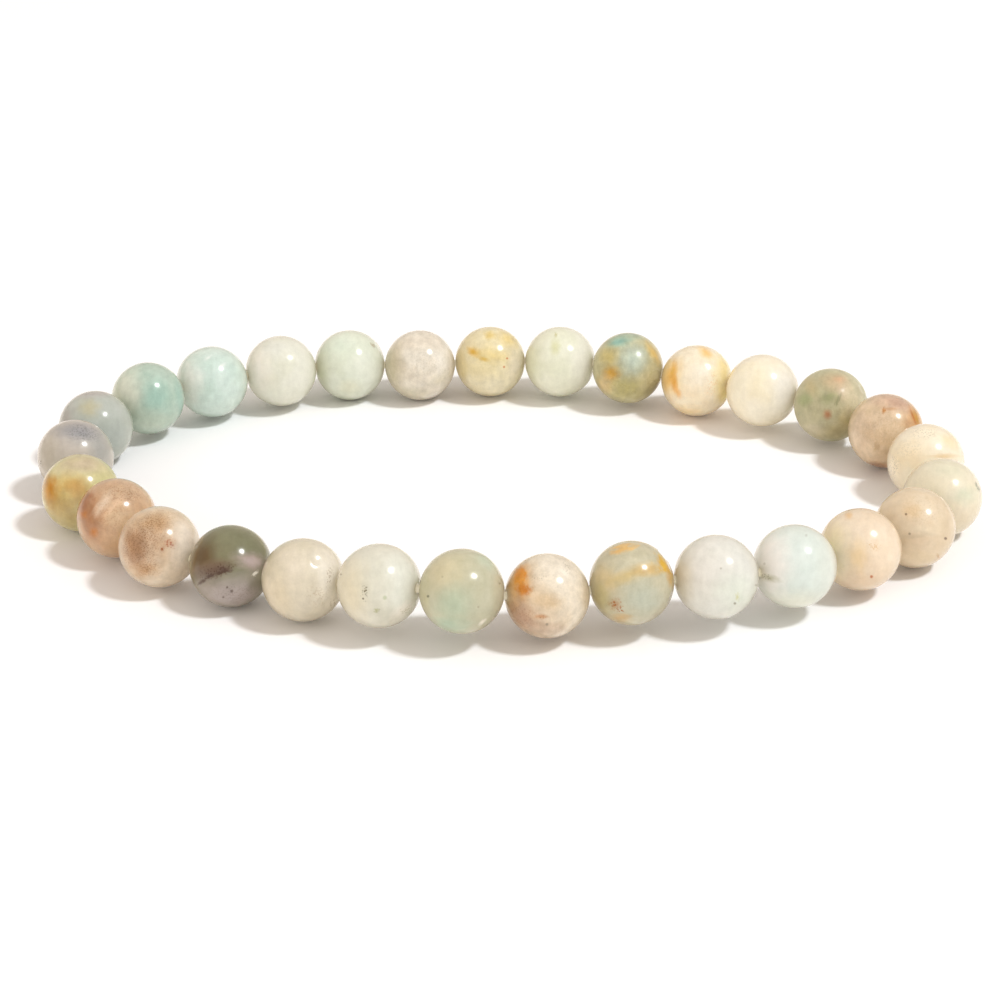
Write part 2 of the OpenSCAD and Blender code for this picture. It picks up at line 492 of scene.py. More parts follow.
# %% Looks of beads 1 to 9, from the front to the right
LOOKS = [
    Look("stone_peach", paint(220, 207, 187), paint(231, 223, 209), 0.6, [
        haze_or_painted_light(paint(235, 229, 217), 0.30, 0.60, 0.60, 0.40, -30, 0.7),
        haze_or_painted_light(paint(201, 163, 123), -0.80, 0.05, 0.45, 0.65, 0, 0.75),
        haze_or_painted_light(paint(183, 159, 139), -0.40, -0.70, 0.65, 0.38, -15, 0.8),
        haze_or_painted_light(paint(207, 150, 70), -0.66, 0.36, 0.22, 0.34, 0, 0.85),
        stain_or_glint(paint(212, 142, 34), -0.64, 0.48, 0.15, 0.19, 0, 0.95),
        stain_or_glint(paint(198, 126, 34), -0.54, 0.16, 0.14, 0.13, 0, 0.95),
        haze_or_painted_light(paint(190, 142, 94), -0.14, -0.48, 0.12, 0.045, 0, 0.8),
        grains(SMOKE, -0.16, 0.41, 0.26, 0.06, 6, 0.3),
        haze_or_painted_light(paint(206, 184, 152), 0.02, -0.12, 0.28, 0.16, -8, 0.7),
        grains(SMOKE, 0.46, 0.65, 0.07, 0.15, 15, 0.45),
        haze_or_painted_light(paint(173, 135, 107), -0.66, -0.48, 0.30, 0.28, 0, 0.6),
        grains(COFFEE, -0.62, -0.50, 0.35, 0.30, 0, 0.4),
        grains(COFFEE, -0.14, -0.49, 0.10, 0.04, 0, 0.6), speck(SMOKE, -0.01, -0.66),
        haze_or_painted_light(paint(201, 179, 153), 0.95, 0.0, 0.10, 0.50, 0, 0.6),
    ], veined=2.4),
    Look("stone_sage", paint(191, 188, 167), paint(199, 198, 179), 0.6, [
        haze_or_painted_light(paint(184, 193, 182), 0.25, -0.40, 0.45, 0.36, 0, 0.8),
        haze_or_painted_light(paint(206, 187, 140), -0.62, 0.10, 0.22, 0.32, 30, 0.6),
        haze_or_painted_light(paint(201, 183, 134), -0.15, 0.14, 0.36, 0.14, 22, 0.75),
        haze_or_painted_light(paint(203, 177, 122), 0.38, 0.32, 0.36, 0.13, 8, 0.9),
        stain_or_glint(paint(224, 183, 112), -0.20, 0.80, 0.30, 0.10, 14, 0.85),
        stain_or_glint(paint(212, 168, 36), 0.76, 0.42, 0.26, 0.14, -48, 0.95),
        haze_or_painted_light(paint(208, 164, 84), 0.92, 0.20, 0.10, 0.26, 10, 0.8),
        haze_or_painted_light(paint(175, 138, 96), -0.38, -0.50, 0.11, 0.10, 0, 0.8),
        grains(paint(156, 88, 20), -0.38, -0.50, 0.13, 0.12, 0, 1, 0.07, 0.75),
        grains(paint(160, 92, 24), -0.24, -0.62, 0.09, 0.07, 0, 0.9, 0.06, 0.6),
        haze_or_painted_light(paint(199, 171, 121), -0.23, -0.82, 0.20, 0.09, 0, 0.9),
        haze_or_painted_light(paint(184, 176, 126), -0.72, -0.38, 0.20, 0.36, 20, 0.7),
    ], veined=1.5),
    Look("stone_milk", paint(216, 221, 218), paint(224, 229, 230), 0.5, [
        haze_or_painted_light(paint(228, 226, 221), -0.30, 0.20, 0.60, 0.60, 0, 0.5),
        haze_or_painted_light(paint(224, 220, 206), -0.80, -0.20, 0.25, 0.60, 0, 0.7),
        haze_or_painted_light(paint(216, 230, 219), 0.50, -0.40, 0.45, 0.40, 0, 0.6),
        stain_or_glint(paint(202, 206, 160), 0.50, -0.44, 0.04, 0.08, 0, 0.8),
        speck(SMOKE, 0.45, -0.60),
        speck(SMOKE, 0.10, 0.20, 0.025, 0.4),
        speck(SMOKE, 0.93, -0.16, 0.03, 0.5),
    ]),
    Look("stone_ice", paint(212, 228, 227), paint(221, 235, 237), 0.5, [
        # Painted light: white laid over the left side, which lies in shade
        haze_or_painted_light(paint(255, 255, 255), -0.66, 0.0, 0.40, 0.65, 0, 1),
        haze_or_painted_light(paint(214, 226, 222), 0.70, 0.10, 0.26, 0.55, 0, 0.8),
        haze_or_painted_light(paint(226, 232, 218), 0.0, -0.85, 0.70, 0.25, 0, 0.7),
        haze_or_painted_light(paint(180, 182, 158), -0.58, -0.30, 0.20, 0.07, -10, 0.8),
        grains(SMOKE, -0.64, -0.28, 0.12, 0.06, -10, 0.8),
        speck(SMOKE, -0.71, 0.02, 0.03, 0.35), speck(SMOKE, 0.23, 0.74, 0.03, 0.3),
    ], veined=0.8),
    Look("stone_sand", paint(228, 208, 186), paint(235, 222, 206), 0.6, [
        haze_or_painted_light(paint(236, 202, 154), -0.05, -0.17, 0.20, 0.35, 0, 0.6),
        haze_or_painted_light(paint(222, 186, 144), -0.32, 0.80, 0.08, 0.09, 0, 0.8),
        haze_or_painted_light(paint(223, 198, 172), 0.05, -0.78, 0.50, 0.20, 0, 0.7),
        # Partly the stone's warm colour, partly painted light that brightens the shaded left side
        haze_or_painted_light(paint(255, 238, 200), -0.70, -0.10, 0.32, 0.60, 0, 0.9),
        haze_or_painted_light(paint(244, 224, 204), 0.60, 0.10, 0.35, 0.50, 0, 0.6),
        speck(RUST, 0.31, -0.63, 0.035, 0.8),
        grains(paint(208, 162, 98), 0.32, 0.10, 0.14, 0.10, 0, 0.45),
    ]),
    Look("stone_sand", paint(218, 201, 177), paint(226, 214, 195), 0.6, [
        haze_or_painted_light(paint(222, 196, 159), -0.10, 0.41, 0.22, 0.13, 0, 0.6),
        haze_or_painted_light(paint(226, 216, 196), 0.23, -0.05, 0.34, 0.10, 0, 0.7),
        haze_or_painted_light(paint(228, 210, 180), 0.10, -0.76, 0.50, 0.22, 0, 0.7),
        haze_or_painted_light(paint(206, 190, 164), 0.76, 0.10, 0.22, 0.45, 0, 0.6),
        haze_or_painted_light(paint(182, 172, 156), -0.05, -0.22, 0.30, 0.05, 8, 0.3),
        haze_or_painted_light(paint(190, 178, 160), 0.40, -0.13, 0.24, 0.04, -10, 0.25),
        speck(UMBER, -0.23, 0.31), speck(UMBER, 0.76, -0.21, 0.035), speck(SMOKE, -0.11, -0.16),
        stain_or_glint(paint(184, 140, 98), 0.62, -0.67, 0.03, 0.07, 30, 0.5),
        grains(paint(182, 158, 131), 0.10, 0.45, 0.50, 0.35, 0, 0.2),
    ]),
    Look("stone_mint", paint(228, 222, 201), paint(234, 228, 211), 0.5, [
        haze_or_painted_light(paint(206, 216, 197), 0.55, 0.10, 0.30, 0.22, 10, 0.7),
        haze_or_painted_light(paint(210, 214, 193), 0.15, 0.75, 0.50, 0.22, 0, 0.6),
        haze_or_painted_light(paint(228, 214, 191), 0.55, -0.50, 0.45, 0.35, 0, 0.6),
        stain_or_glint(paint(138, 146, 132), 0.84, 0.34, 0.03, 0.12, 28, 0.8),
    ]),
    Look("stone_cream", paint(249, 234, 209), paint(249, 241, 223), 0.6, [
        haze_or_painted_light(paint(249, 222, 187), -0.32, 0.14, 0.40, 0.26, 0, 0.5),
        haze_or_painted_light(paint(249, 222, 179), 0.60, 0.55, 0.25, 0.16, -30, 0.6),
        haze_or_painted_light(paint(227, 196, 155), 0.48, 0.18, 0.35, 0.05, 4, 0.7),
        grains(SMOKE, -0.10, 0.74, 0.30, 0.12, 0, 0.4),
        grains(SMOKE, -0.42, 0.32, 0.30, 0.20, 0, 0.2),
        grains(SMOKE, -0.80, -0.20, 0.14, 0.25, 0, 0.5),
    ]),
    Look("stone_tan", paint(210, 190, 163), paint(220, 202, 181), 0.6, [
        haze_or_painted_light(paint(194, 148, 99), 0.72, 0.10, 0.26, 0.50, 0, 0.7),
        haze_or_painted_light(paint(192, 160, 143), 0.23, 0.78, 0.55, 0.22, -10, 0.8),
        haze_or_painted_light(paint(192, 144, 49), 0.80, 0.38, 0.12, 0.30, 25, 0.95),
        haze_or_painted_light(paint(178, 104, 46), 0.70, 0.40, 0.025, 0.24, 24, 0.7),
        stain_or_glint(paint(178, 128, 69), -0.08, 0.53, 0.05, 0.07, 0, 0.9),
        haze_or_painted_light(paint(194, 158, 123), 0.06, 0.58, 0.16, 0.03, 5, 0.8),
        haze_or_painted_light(paint(222, 200, 175), -0.69, -0.46, 0.20, 0.24, 0, 0.7),
        haze_or_painted_light(paint(210, 194, 177), -0.74, 0.05, 0.22, 0.34, 0, 0.7),
        stain_or_glint(paint(180, 156, 121), -0.20, -0.44, 0.08, 0.11, 0, 0.6),
        haze_or_painted_light(paint(158, 114, 81), -0.18, -0.96, 0.32, 0.11, 0, 0.9),
        grains(paint(184, 152, 119), 0.0, 0.10, 0.60, 0.50, 0, 0.2),
    ], veined=2.2),
]
print(len(LOOKS), "beads described")

# %% Looks of beads 10 to 19, along the back
LOOKS += [
    Look("stone_sage", paint(174, 172, 142), paint(184, 179, 150), 0.7, [
        haze_or_painted_light(paint(194, 173, 140), 0.09, 0.64, 0.32, 0.22, 0, 0.85),
        haze_or_painted_light(paint(204, 164, 132), 0.20, 0.70, 0.14, 0.07, 0, 0.7),
        haze_or_painted_light(paint(202, 178, 148), 0.32, 0.40, 0.26, 0.26, 30, 0.6),
        stain_or_glint(paint(128, 133, 92), 0.18, 0.15, 0.05, 0.15, -20, 0.7),
        haze_or_painted_light(paint(150, 155, 114), -0.05, 0.20, 0.20, 0.12, 20, 0.8),
        haze_or_painted_light(paint(168, 118, 80), -0.07, -0.26, 0.09, 0.11, 0, 0.9),
        haze_or_painted_light(paint(155, 165, 124), -0.70, 0.10, 0.16, 0.14, 0, 0.8),
        haze_or_painted_light(paint(192, 183, 162), -0.28, -0.72, 0.36, 0.16, 0, 0.7),
        haze_or_painted_light(paint(170, 161, 122), 0.16, -0.70, 0.26, 0.20, 0, 0.7),
        haze_or_painted_light(paint(194, 179, 138), -0.55, 0.48, 0.14, 0.25, 30, 0.6),
        haze_or_painted_light(paint(213, 203, 174), 0.66, 0.0, 0.30, 0.55, 0, 0.8),
        grains(paint(138, 129, 94), 0.40, -0.20, 0.40, 0.40, 0, 0.15),
        haze_or_painted_light(paint(188, 176, 132), 0.46, -0.36, 0.24, 0.26, 0, 0.7),
        haze_or_painted_light(paint(176, 168, 132), 0.0, -0.76, 0.36, 0.16, 0, 0.6),
    ], matt=0.6, veined=2.0),
    Look("stone_cream", paint(249, 239, 213), paint(249, 242, 226), 0.6, [
        # Painted light: the shaded left and right sides are brightened nearly to white
        haze_or_painted_light(paint(254, 249, 224), -0.75, 0.0, 0.30, 0.70, 0, 0.7),
        haze_or_painted_light(paint(255, 255, 242), 0.65, 0.0, 0.38, 0.65, 0, 1),
        haze_or_painted_light(paint(254, 250, 230), 0.0, -0.65, 0.55, 0.30, 0, 0.8),
        haze_or_painted_light(paint(254, 239, 218), 0.25, 0.75, 0.40, 0.16, 0, 0.5),
    ]),
    Look("stone_peach", paint(255, 233, 205), paint(255, 243, 222), 0.6, [
        haze_or_painted_light(paint(242, 194, 126), -0.80, 0.08, 0.26, 0.46, -8, 0.9),
        haze_or_painted_light(paint(231, 178, 90), -0.67, 0.20, 0.09, 0.26, -10, 0.9),
        haze_or_painted_light(paint(221, 162, 66), -0.62, -0.10, 0.09, 0.22, 10, 0.9),
        haze_or_painted_light(paint(242, 180, 107), -0.52, -0.34, 0.07, 0.14, 28, 0.7),
        haze_or_painted_light(paint(254, 192, 119), 0.23, 0.78, 0.22, 0.11, -40, 0.85),
        haze_or_painted_light(paint(255, 226, 160), 0.76, 0.36, 0.24, 0.48, -8, 0.85),
        haze_or_painted_light(paint(255, 228, 162), 0.76, -0.36, 0.18, 0.36, 22, 0.8),
        haze_or_painted_light(paint(254, 218, 167), -0.30, -0.88, 0.40, 0.16, 0, 0.7),
        haze_or_painted_light(paint(254, 247, 231), 0.05, 0.10, 0.30, 0.30, 0, 0.6),
        grains(paint(244, 186, 125), 0.45, -0.10, 0.16, 0.30, 0, 0.4),
    ], veined=1.6),
    Look("stone_sage", paint(181, 178, 144), paint(191, 186, 150), 0.6, [
        haze_or_painted_light(paint(183, 199, 190), 0.12, 0.28, 0.34, 0.42, 0, 0.9),
        haze_or_painted_light(paint(137, 186, 178), -0.28, 0.74, 0.28, 0.14, 12, 0.9),
        haze_or_painted_light(paint(193, 179, 117), -0.55, 0.32, 0.20, 0.20, 0, 0.75),
        haze_or_painted_light(paint(191, 151, 51), -0.47, -0.16, 0.20, 0.18, 0, 0.95),
        haze_or_painted_light(paint(201, 176, 126), -0.62, -0.48, 0.22, 0.24, 0, 0.8),
        haze_or_painted_light(paint(192, 182, 142), 0.52, -0.40, 0.26, 0.24, 0, 0.6),
        haze_or_painted_light(paint(175, 168, 108), -0.05, -0.62, 0.42, 0.28, 0, 0.8),
        haze_or_painted_light(paint(201, 172, 98), 0.72, 0.42, 0.10, 0.30, 32, 0.9),
        haze_or_painted_light(paint(151, 146, 106), 0.70, -0.62, 0.24, 0.26, 0, 0.8),
        haze_or_painted_light(paint(147, 178, 166), 0.10, 0.92, 0.40, 0.10, 0, 0.6),
    ], matt=0.15, veined=2.6),
    Look("stone_mint", paint(226, 234, 214), paint(233, 241, 226), 0.5, [
        # Painted light: the right side, in its neighbour's shadow, is brightened
        haze_or_painted_light(paint(244, 252, 238), 0.68, 0.0, 0.32, 0.55, 0, 0.9),
        stain_or_glint(paint(195, 195, 150), -0.12, 0.74, 0.04, 0.06, 0, 0.8),
        haze_or_painted_light(paint(213, 217, 178), -0.14, 0.41, 0.11, 0.18, 0, 0.8),
        haze_or_painted_light(paint(231, 239, 220), 0.10, -0.60, 0.30, 0.35, 0, 0.6),
        haze_or_painted_light(paint(209, 219, 190), -0.80, -0.20, 0.25, 0.50, 0, 0.6),
    ]),
    Look("stone_honey", paint(224, 214, 178), paint(231, 224, 196), 0.6, [
        haze_or_painted_light(paint(207, 159, 15), -0.46, 0.28, 0.16, 0.10, -30, 0.95),
        haze_or_painted_light(paint(209, 173, 67), -0.18, 0.07, 0.12, 0.05, -15, 0.9),
        haze_or_painted_light(paint(221, 196, 122), 0.0, 0.74, 0.13, 0.11, 0, 0.8),
        haze_or_painted_light(paint(225, 202, 140), 0.52, 0.64, 0.30, 0.20, -30, 0.8),
        haze_or_painted_light(paint(219, 198, 136), 0.05, 0.20, 0.55, 0.20, -5, 0.6),
        haze_or_painted_light(paint(229, 224, 200), 0.10, -0.70, 0.55, 0.28, 0, 0.8),
        haze_or_painted_light(paint(225, 217, 199), 0.74, -0.15, 0.22, 0.40, 0, 0.8),
        haze_or_painted_light(paint(217, 202, 152), -0.85, -0.10, 0.16, 0.45, 0, 0.6),
        speck(RUST, 0.48, 0.08), speck(RUST, 0.39, -0.16, 0.03, 0.7),
    ], veined=1.8),
    Look("stone_cream", paint(218, 212, 200), paint(228, 226, 218), 0.7, [
        haze_or_painted_light(paint(188, 182, 158), -0.78, 0.0, 0.26, 0.70, 0, 0.7),
        haze_or_painted_light(paint(204, 198, 178), 0.55, -0.40, 0.26, 0.14, 30, 0.8),
        haze_or_painted_light(paint(236, 234, 226), 0.62, 0.10, 0.26, 0.40, 0, 0.7),
        haze_or_painted_light(paint(218, 210, 198), 0.0, 0.68, 0.55, 0.22, 0, 0.7),
        haze_or_painted_light(paint(196, 194, 172), -0.35, -0.80, 0.45, 0.16, 0, 0.6),
        grains(paint(194, 184, 164), 0.20, 0.0, 0.50, 0.50, 0, 0.3),
    ], veined=2.2),
    Look("stone_mint", paint(218, 231, 216), paint(227, 240, 229), 0.6, [
        haze_or_painted_light(paint(215, 236, 221), -0.40, 0.60, 0.45, 0.32, 0, 0.7),
        stain_or_glint(paint(177, 172, 155), 0.68, 0.54, 0.08, 0.04, -40, 0.9),
        haze_or_painted_light(paint(203, 214, 191), -0.85, -0.20, 0.20, 0.55, 0, 0.7),
        haze_or_painted_light(paint(225, 230, 207), -0.05, -0.65, 0.25, 0.18, 0, 0.6),
    ]),
    Look("stone_milk", paint(221, 226, 213), paint(229, 235, 228), 0.6, [
        # Painted light: white laid over the shaded left side
        haze_or_painted_light(paint(255, 255, 244), -0.70, 0.0, 0.34, 0.60, 0, 1),
        haze_or_painted_light(paint(220, 226, 222), -0.20, 0.66, 0.45, 0.22, 0, 0.7),
        haze_or_painted_light(paint(234, 241, 230), 0.0, -0.70, 0.50, 0.28, 0, 0.8),
    ]),
    Look("stone_aqua", paint(199, 224, 220), paint(210, 232, 231), 0.6, [
        haze_or_painted_light(paint(228, 243, 245), -0.07, 0.67, 0.10, 0.03, 30, 0.7),
        haze_or_painted_light(paint(230, 245, 249), 0.32, 0.44, 0.09, 0.04, 30, 0.8),
        haze_or_painted_light(paint(218, 237, 237), -0.30, 0.23, 0.12, 0.10, 0, 0.6),
        stain_or_glint(paint(158, 179, 161), -0.80, 0.25, 0.06, 0.10, 0, 0.7),
        # Painted light: near white laid over the shaded left side
        haze_or_painted_light(paint(240, 255, 252), -0.68, -0.05, 0.34, 0.55, 0, 1),
        haze_or_painted_light(paint(212, 237, 235), 0.0, -0.70, 0.50, 0.28, 0, 0.8),
    ], veined=1.5),
]
print(len(LOOKS), "beads described")

# %% Looks of beads 20 to 29, from the left to the front again
LOOKS += [
    Look("stone_aqua", paint(173, 198, 189), paint(182, 202, 195), 0.6, [
        # Painted light: the shaded left side is brightened with a pale haze
        haze_or_painted_light(paint(210, 218, 207), -0.56, 0.26, 0.40, 0.60, 0, 0.9),
        haze_or_painted_light(paint(156, 192, 185), 0.22, 0.0, 0.30, 0.38, 0, 0.7),
        haze_or_painted_light(paint(198, 214, 203), -0.05, -0.68, 0.52, 0.28, 0, 0.8),
        haze_or_painted_light(paint(162, 198, 193), 0.88, 0.0, 0.12, 0.60, 0, 0.7),
        haze_or_painted_light(paint(198, 204, 187), -0.88, 0.10, 0.12, 0.40, 0, 0.6),
    ], veined=1.5),
    Look("stone_slate", paint(177, 186, 182), paint(184, 192, 192), 0.6, [
        haze_or_painted_light(paint(187, 184, 158), -0.14, 0.55, 0.25, 0.20, 0, 0.8),
        haze_or_painted_light(paint(171, 182, 180), 0.50, -0.35, 0.45, 0.40, 0, 0.7),
        haze_or_painted_light(paint(163, 158, 158), -0.80, 0.10, 0.24, 0.55, 0, 0.7),
        haze_or_painted_light(paint(177, 172, 174), 0.0, 0.92, 0.60, 0.10, 0, 0.7),
    ]),
    Look("stone_slate", paint(190, 186, 182), paint(200, 198, 195), 0.6, [
        haze_or_painted_light(paint(144, 148, 156), 0.15, 0.66, 0.60, 0.24, -10, 0.85),
        grains(paint(120, 118, 124), 0.30, 0.62, 0.40, 0.20, -20, 0.6),
        haze_or_painted_light(paint(174, 170, 159), -0.70, 0.05, 0.30, 0.45, 0, 0.7),
        haze_or_painted_light(paint(162, 166, 167), 0.70, 0.10, 0.28, 0.45, 0, 0.8),
        grains(UMBER, -0.93, -0.05, 0.06, 0.10, 0, 0.7),
    ]),
    Look("stone_honey", paint(202, 199, 154), paint(208, 206, 166), 0.6, [
        haze_or_painted_light(paint(194, 180, 162), 0.10, 0.72, 0.55, 0.24, 0, 0.8),
        haze_or_painted_light(paint(198, 164, 96), -0.20, 0.22, 0.34, 0.24, -10, 0.85),
        haze_or_painted_light(paint(190, 156, 98), -0.05, 0.0, 0.24, 0.28, 0, 0.65),
        haze_or_painted_light(paint(188, 132, 0), -0.76, 0.12, 0.18, 0.36, 0, 1),
        haze_or_painted_light(paint(180, 134, 44), -0.84, 0.36, 0.14, 0.24, 20, 0.6),
        haze_or_painted_light(paint(172, 140, 62), -0.60, -0.18, 0.30, 0.24, 0, 0.7),
        haze_or_painted_light(paint(182, 160, 106), -0.46, -0.50, 0.40, 0.34, 0, 0.7),
    ], veined=1.6),
    Look("stone_tan", paint(198, 168, 139), paint(209, 184, 159), 0.6, [
        haze_or_painted_light(paint(159, 112, 74), -0.68, 0.05, 0.34, 0.62, 0, 0.85),
        stain_or_glint(paint(153, 102, 66), -0.78, 0.48, 0.18, 0.30, -28, 0.8),
        haze_or_painted_light(paint(184, 118, 44), -0.81, 0.16, 0.08, 0.09, 0, 0.85),
        haze_or_painted_light(paint(184, 118, 44), -0.59, -0.30, 0.08, 0.10, 0, 0.85),
        haze_or_painted_light(paint(188, 164, 138), 0.15, 0.64, 0.45, 0.18, -8, 0.8),
        grains(paint(149, 107, 72), 0.18, 0.60, 0.45, 0.20, -8, 0.6),
        haze_or_painted_light(paint(217, 200, 182), -0.30, 0.38, 0.28, 0.10, 48, 0.85),
        haze_or_painted_light(paint(215, 192, 164), 0.02, 0.05, 0.30, 0.24, 20, 0.7),
        haze_or_painted_light(paint(236, 208, 184), -0.02, 0.34, 0.30, 0.07, 40, 0.35),
        haze_or_painted_light(paint(205, 172, 138), 0.0, -0.55, 0.50, 0.30, 0, 0.6),
        grains(paint(169, 124, 88), -0.20, 0.05, 0.45, 0.35, 0, 0.3),
        haze_or_painted_light(paint(209, 184, 156), -0.92, -0.20, 0.06, 0.35, 0, 0.5),
    ], veined=2.0),
    Look("stone_tan", paint(216, 200, 179), paint(224, 212, 196), 0.6, [
        haze_or_painted_light(paint(164, 124, 86), -0.62, 0.05, 0.34, 0.62, 0, 0.85),
        haze_or_painted_light(paint(178, 148, 118), -0.05, 0.15, 0.34, 0.45, 0, 0.7),
        haze_or_painted_light(paint(190, 164, 132), -0.12, 0.70, 0.50, 0.20, 8, 0.85),
        haze_or_painted_light(paint(184, 150, 110), -0.02, 0.55, 0.26, 0.16, 0, 0.7),
        haze_or_painted_light(paint(140, 102, 68), -0.46, 0.05, 0.12, 0.40, -6, 0.35),
        haze_or_painted_light(paint(192, 156, 114), -0.37, -0.55, 0.28, 0.18, 0, 0.8),
        grains(paint(128, 94, 64), -0.50, 0.08, 0.42, 0.60, 0, 0.5, 0.035),
        grains(paint(128, 94, 64), -0.05, 0.66, 0.42, 0.20, 8, 0.45, 0.035),
        grains(paint(150, 112, 74), -0.10, 0.30, 0.40, 0.30, 0, 0.3, 0.035),
        grains(paint(148, 108, 74), -0.35, -0.52, 0.30, 0.18, 0, 0.5),
        haze_or_painted_light(paint(180, 142, 112), 0.28, 0.05, 0.13, 0.08, 0, 0.8),
        grains(paint(156, 84, 46), 0.28, 0.05, 0.14, 0.09, 0, 1, 0.06, 0.8),
        stain_or_glint(paint(152, 92, 58), 0.06, -0.06, 0.035, 0.04, 0, 0.95),
        haze_or_painted_light(paint(234, 222, 210), 0.65, -0.10, 0.30, 0.60, 0, 0.85),
        haze_or_painted_light(paint(224, 210, 192), 0.20, -0.80, 0.50, 0.18, 0, 0.7),
    ], veined=1.9),
    Look("stone_moss", paint(122, 124, 99), paint(132, 132, 107), 0.7, [
        haze_or_painted_light(paint(96, 72, 38), -0.70, 0.20, 0.34, 0.58, 0, 0.9),
        haze_or_painted_light(paint(130, 128, 102), -0.10, 0.30, 0.24, 0.26, 0, 0.7),
        haze_or_painted_light(paint(126, 106, 87), -0.45, 0.02, 0.42, 0.12, 8, 0.8),
        haze_or_painted_light(paint(172, 164, 164), 0.0, -0.74, 1.10, 0.46, 6, 1),
        haze_or_painted_light(paint(188, 174, 175), 0.52, 0.06, 0.34, 0.17, -18, 0.95),
        haze_or_painted_light(paint(144, 144, 131), 0.68, -0.38, 0.24, 0.28, 0, 0.8),
        stain_or_glint(paint(86, 64, 57), -0.16, -0.08, 0.15, 0.07, 0, 0.8),
        haze_or_painted_light(paint(94, 70, 59), -0.42, -0.08, 0.40, 0.12, 12, 0.7),
        stain_or_glint(UMBER, -0.72, -0.33, 0.10, 0.04, 30, 0.9),
        stain_or_glint(UMBER, -0.50, -0.20, 0.14, 0.04, 22, 0.9),
        stain_or_glint(UMBER, -0.24, -0.14, 0.12, 0.04, 12, 0.9),
        grains(UMBER, -0.36, -0.08, 0.40, 0.14, 14, 0.8, 0.05, 0.5),
        # Painted glint: a white crescent at the right drill mouth
        stain_or_glint(paint(255, 255, 245), 0.57, -0.22, 0.075, 0.035, 35, 1),
        speck(UMBER, -0.02, -0.60, 0.035),
        speck(UMBER, -0.12, -0.50, 0.025),
        speck(UMBER, -0.23, -0.73, 0.025),
        grains(paint(114, 102, 105), 0.10, -0.68, 0.50, 0.22, 0, 0.3),
    ], 0.9),
    Look("stone_cream", paint(207, 202, 184), paint(215, 210, 197), 0.6, [
        # Painted light: the right side, in its neighbour's shadow, is brightened
        haze_or_painted_light(paint(255, 250, 238), 0.66, 0.0, 0.32, 0.60, 0, 0.9),
        haze_or_painted_light(paint(216, 204, 179), -0.70, -0.40, 0.35, 0.45, 0, 0.6),
        haze_or_painted_light(paint(228, 220, 207), -0.20, 0.35, 0.40, 0.35, 0, 0.5),
        grains(paint(150, 120, 89), 0.62, 0.05, 0.07, 0.28, -8, 0.5),
        grains(paint(150, 120, 89), 0.69, -0.60, 0.09, 0.10, 0, 0.7),
        grains(paint(180, 158, 129), 0.30, -0.40, 0.22, 0.22, 0, 0.4),
    ], veined=1.3),
    Look("stone_mint", paint(211, 213, 202), paint(219, 222, 215), 0.5, [
        haze_or_painted_light(paint(222, 214, 189), -0.70, -0.10, 0.34, 0.70, 0, 0.7),
        # Partly the stone's pale green, partly painted light that brightens the right side in its
        # neighbour's shadow
        haze_or_painted_light(paint(234, 244, 236), 0.60, -0.05, 0.36, 0.60, 0, 0.9),
        grains(paint(110, 100, 77), -0.32, -0.07, 0.08, 0.07, 0, 0.95, 0.06, 0.6),
        grains(paint(106, 100, 87), -0.36, -0.25, 0.06, 0.09, 0, 0.95, 0.06, 0.7),
        stain_or_glint(paint(178, 182, 149), -0.08, -0.57, 0.06, 0.05, 0, 0.9),
        # Painted light: a pool of light low on the right
        haze_or_painted_light(PAINTED_LIGHT_POOL, 0.52, -0.62, 0.30, 0.12, 40, 0.8),
        speck(paint(180, 192, 163), 0.12, -0.28, 0.045),
        speck(SMOKE, -0.88, 0.30, 0.025),
        grains(paint(170, 166, 133), 0.62, -0.60, 0.14, 0.10, 0, 0.5),
    ]),
    Look("stone_sage", paint(187, 188, 167), paint(196, 198, 179), 0.6, [
        haze_or_painted_light(paint(210, 201, 170), -0.38, 0.52, 0.42, 0.38, 0, 0.6),
        haze_or_painted_light(paint(177, 193, 175), -0.20, -0.36, 0.36, 0.36, 0, 0.8),
        haze_or_painted_light(paint(174, 196, 179), -0.36, -0.80, 0.40, 0.16, 0, 0.9),
        haze_or_painted_light(paint(184, 200, 181), 0.60, 0.70, 0.25, 0.16, -40, 0.7),
        haze_or_painted_light(paint(184, 182, 149), -0.90, 0.05, 0.12, 0.40, 0, 0.6),
        # Painted light: a small pool of light low on the right
        haze_or_painted_light(PAINTED_LIGHT_POOL, 0.46, -0.72, 0.09, 0.03, 40, 0.7),
        speck(paint(88, 98, 77), -0.78, -0.10, 0.03), speck(SMOKE, -0.44, 0.34, 0.025, 0.35),
        speck(SMOKE, 0.37, -0.37, 0.025, 0.4), speck(SMOKE, 0.88, 0.16, 0.025, 0.5),
    ]),
]
print(len(LOOKS), "looks with", sum(len(look.marks) for look in LOOKS), "marks")

# %% [markdown]
# From notes to a material
# Each mark becomes a stretched ball in the stone, and a point's distance from its middle, in
# its own reaches, says how strongly the mark's colour shows. Bending space with noise before
# measuring gives the ragged edge, and because the noise is as large as the mark, small marks
# keep their place. Grains are the cells of a Voronoi pattern, of which only some are filled. The
# far half of the bead is folded onto the near half. Colour, roughness and bump vary over the
# stone, and what is the same all over, such as how deep light goes, stays a plain number.

# %% Mask of a mark
MARK_DEEP = 0.6
RAGGED_SIZE = 0.9
# Where a mark's ragged edge is taken from the noise, for each radius that it lies off middle
RAGGED_STEP = 9
# Reach of a dot in its cell, at its rim and in its full middle, and the spread of the choice
DOT_RIM, DOT_MIDDLE = 0.6, 0.3
CHANCE_SOFT = 0.05


def seen_frame(i):
    """Turns right, up and towards the camera, as bead i is seen, into the model's axes."""
    towards = (CAMERA_PLACE - centres[i]).normalized()
    right = Vector((0, 0, 1)).cross(towards).normalized()
    return Matrix((right, towards.cross(right), towards)).transposed()


